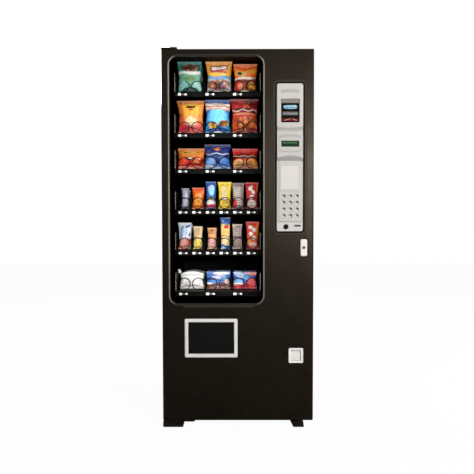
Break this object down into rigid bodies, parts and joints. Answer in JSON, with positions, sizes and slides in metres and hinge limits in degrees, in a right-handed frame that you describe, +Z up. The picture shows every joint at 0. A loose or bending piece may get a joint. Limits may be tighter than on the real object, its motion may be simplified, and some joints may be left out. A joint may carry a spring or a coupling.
{
  "type": "snack vending machine",
  "caption": "Slim glass-front snack vending machine with spiral-coil trays, hinged door, keypad payment panel, pick-up flap, coin cup and pop-out lock handle.",
  "frame": {"origin": "bottom centre of the overall box, on the floor", "axes": "+Z up, +X to the customer's right, front of the machine at -Y"},
  "size_m": [0.73, 0.915, 1.829],
  "materials": {
    "door_paint": "dark bronze-brown powder coat, fine texture, satin",
    "cabinet_paint": "dark bronze-brown powder coat, satin",
    "liner_black": "matt black inside paint",
    "tray_steel": "grey painted steel tray",
    "coil_wire": "black-coated spring wire",
    "window_glass": "clear flat glass",
    "trim_bronze": "dark bronze anodised trim",
    "panel_silver": "pale silver-grey moulded panel",
    "keyplate_silver": "pale silver-grey raised plate",
    "key_plastic": "off-white dished key caps",
    "black_plastic": "black moulded plastic",
    "display_lens": "dark green display lens",
    "bright_metal": "bright plated lock furniture",
    "zinc_steel": "zinc-plated steel",
    "pale_frame": "near-white moulded frame",
    "seal_rubber": "black foam seal"
  },
  "bodies": {
    "cabinet": {"cabinet_wrap": "cabinet_paint", "cabinet_base": "cabinet_paint", "cabinet_back": "cabinet_paint", "bay_partition": "liner_black", "tray_rail_left": "liner_black", "top_hinge": "cabinet_paint", "bottom_hinge": "cabinet_paint", "leg_left": "cabinet_paint", "leg_right": "cabinet_paint", "door_gasket": "seal_rubber", "tray_1": "tray_steel", "tray_2": "tray_steel", "tray_3": "tray_steel", "tray_4": "tray_steel", "tray_5": "tray_steel", "tray_6": "tray_steel", "tray_1_coils": "coil_wire", "tray_2_coils": "coil_wire", "tray_3_coils": "coil_wire", "tray_4_coils": "coil_wire", "tray_5_coils": "coil_wire", "tray_6_coils": "coil_wire", "delivery_bin": "liner_black", "coin_changer": "black_plastic", "control_box": "zinc_steel"},
    "door": {"door_panel": "door_paint", "window_glass": "window_glass", "window_trim": "trim_bronze", "control_fascia": "panel_silver", "fascia_bezel": "trim_bronze", "bill_validator": "black_plastic", "display_module": "display_lens", "keypad_plate": "keyplate_silver", "coin_entry": "pale_frame", "delivery_frame": "pale_frame", "coin_cup": "pale_frame", "lock_escutcheon": "bright_metal"},
    "delivery_flap": {"delivery_flap": "black_plastic"},
    "coin_return_flap": {"coin_return_flap": "pale_frame"},
    "coin_return_button": {"coin_return_button": "black_plastic"},
    "handle_plunger": {"handle_plunger": "zinc_steel"},
    "t_handle": {"t_handle": "bright_metal"},
    "lock_cylinder": {"lock_cylinder": "zinc_steel"},
    "latch_cam": {"latch_cam": "zinc_steel"},
    "key_1": {"key_1": "key_plastic"},
    "key_2": {"key_2": "key_plastic"},
    "key_3": {"key_3": "key_plastic"},
    "key_4": {"key_4": "key_plastic"},
    "key_5": {"key_5": "key_plastic"},
    "key_6": {"key_6": "key_plastic"},
    "key_7": {"key_7": "key_plastic"},
    "key_8": {"key_8": "key_plastic"},
    "key_9": {"key_9": "key_plastic"},
    "key_star": {"key_star": "key_plastic"},
    "key_0": {"key_0": "key_plastic"},
    "key_hash": {"key_hash": "key_plastic"},
    "coil_2b_left": {"coil_2b_left": "coil_wire"},
    "coil_2b_right": {"coil_2b_right": "coil_wire"},
    "coil_4c": {"coil_4c": "coil_wire"},
    "coil_5e": {"coil_5e": "coil_wire"}
  },
  "joints": [
    {"name": "door_hinge", "type": "hinge", "parent": "cabinet", "child": "door", "pos_m": [-0.353, -0.397, 0.9], "axis": [0, 0, -1], "range_deg": [0, 110]},
    {"name": "delivery_flap_hinge", "type": "hinge", "parent": "door", "child": "delivery_flap", "pos_m": [-0.1288, -0.438, 0.5108], "axis": [1, 0, 0], "range_deg": [0, 60]},
    {"name": "coin_return_flap_hinge", "type": "hinge", "parent": "door", "child": "coin_return_flap", "pos_m": [0.2815, -0.439, 0.3786], "axis": [1, 0, 0], "range_deg": [0, 50]},
    {"name": "coin_return_press", "type": "slide", "parent": "door", "child": "coin_return_button", "axis": [0, 1, 0], "range_m": [0, 0.005]},
    {"name": "handle_pop_out", "type": "slide", "parent": "door", "child": "handle_plunger", "axis": [0, -1, 0], "range_m": [0, 0.03]},
    {"name": "handle_turn", "type": "hinge", "parent": "handle_plunger", "child": "t_handle", "pos_m": [0.3167, -0.4475, 0.876], "axis": [0, 1, 0], "range_deg": [0, 90]},
    {"name": "key_cylinder_turn", "type": "hinge", "parent": "t_handle", "child": "lock_cylinder", "pos_m": [0.3167, -0.4575, 0.876], "axis": [0, 1, 0], "range_deg": [0, 90]},
    {"name": "latch_cam_turn", "type": "hinge", "parent": "door", "child": "latch_cam", "pos_m": [0.3167, -0.3915, 0.876], "axis": [0, 1, 0], "range_deg": [0, 90]},
    {"name": "key_1_press", "type": "slide", "parent": "door", "child": "key_1", "axis": [0, 1, 0], "range_m": [0, 0.002]},
    {"name": "key_2_press", "type": "slide", "parent": "door", "child": "key_2", "axis": [0, 1, 0], "range_m": [0, 0.002]},
    {"name": "key_3_press", "type": "slide", "parent": "door", "child": "key_3", "axis": [0, 1, 0], "range_m": [0, 0.002]},
    {"name": "key_4_press", "type": "slide", "parent": "door", "child": "key_4", "axis": [0, 1, 0], "range_m": [0, 0.002]},
    {"name": "key_5_press", "type": "slide", "parent": "door", "child": "key_5", "axis": [0, 1, 0], "range_m": [0, 0.002]},
    {"name": "key_6_press", "type": "slide", "parent": "door", "child": "key_6", "axis": [0, 1, 0], "range_m": [0, 0.002]},
    {"name": "key_7_press", "type": "slide", "parent": "door", "child": "key_7", "axis": [0, 1, 0], "range_m": [0, 0.002]},
    {"name": "key_8_press", "type": "slide", "parent": "door", "child": "key_8", "axis": [0, 1, 0], "range_m": [0, 0.002]},
    {"name": "key_9_press", "type": "slide", "parent": "door", "child": "key_9", "axis": [0, 1, 0], "range_m": [0, 0.002]},
    {"name": "key_star_press", "type": "slide", "parent": "door", "child": "key_star", "axis": [0, 1, 0], "range_m": [0, 0.002]},
    {"name": "key_0_press", "type": "slide", "parent": "door", "child": "key_0", "axis": [0, 1, 0], "range_m": [0, 0.002]},
    {"name": "key_hash_press", "type": "slide", "parent": "door", "child": "key_hash", "axis": [0, 1, 0], "range_m": [0, 0.002]},
    {"name": "coil_2b_left_turn", "type": "hinge", "parent": "cabinet", "child": "coil_2b_left", "pos_m": [-0.1363, -0.236, 1.4804], "axis": [0, -1, 0], "range_deg": [0, 360]},
    {"name": "coil_2b_right_turn", "type": "hinge", "parent": "cabinet", "child": "coil_2b_right", "pos_m": [-0.0667, -0.236, 1.4804], "axis": [0, -1, 0], "range_deg": [-360, 0]},
    {"name": "coil_4c_turn", "type": "hinge", "parent": "cabinet", "child": "coil_4c", "pos_m": [-0.1363, -0.236, 1.091], "axis": [0, -1, 0], "range_deg": [0, 360]},
    {"name": "coil_5e_turn", "type": "hinge", "parent": "cabinet", "child": "coil_5e", "pos_m": [0.0029, -0.236, 0.883], "axis": [0, -1, 0], "range_deg": [0, 360]}
  ],
  "couplings": [
    {"joint": "coil_2b_right_turn", "follows": "coil_2b_left_turn", "ratio": -1},
    {"joint": "latch_cam_turn", "follows": "handle_turn", "ratio": 1}
  ]
}
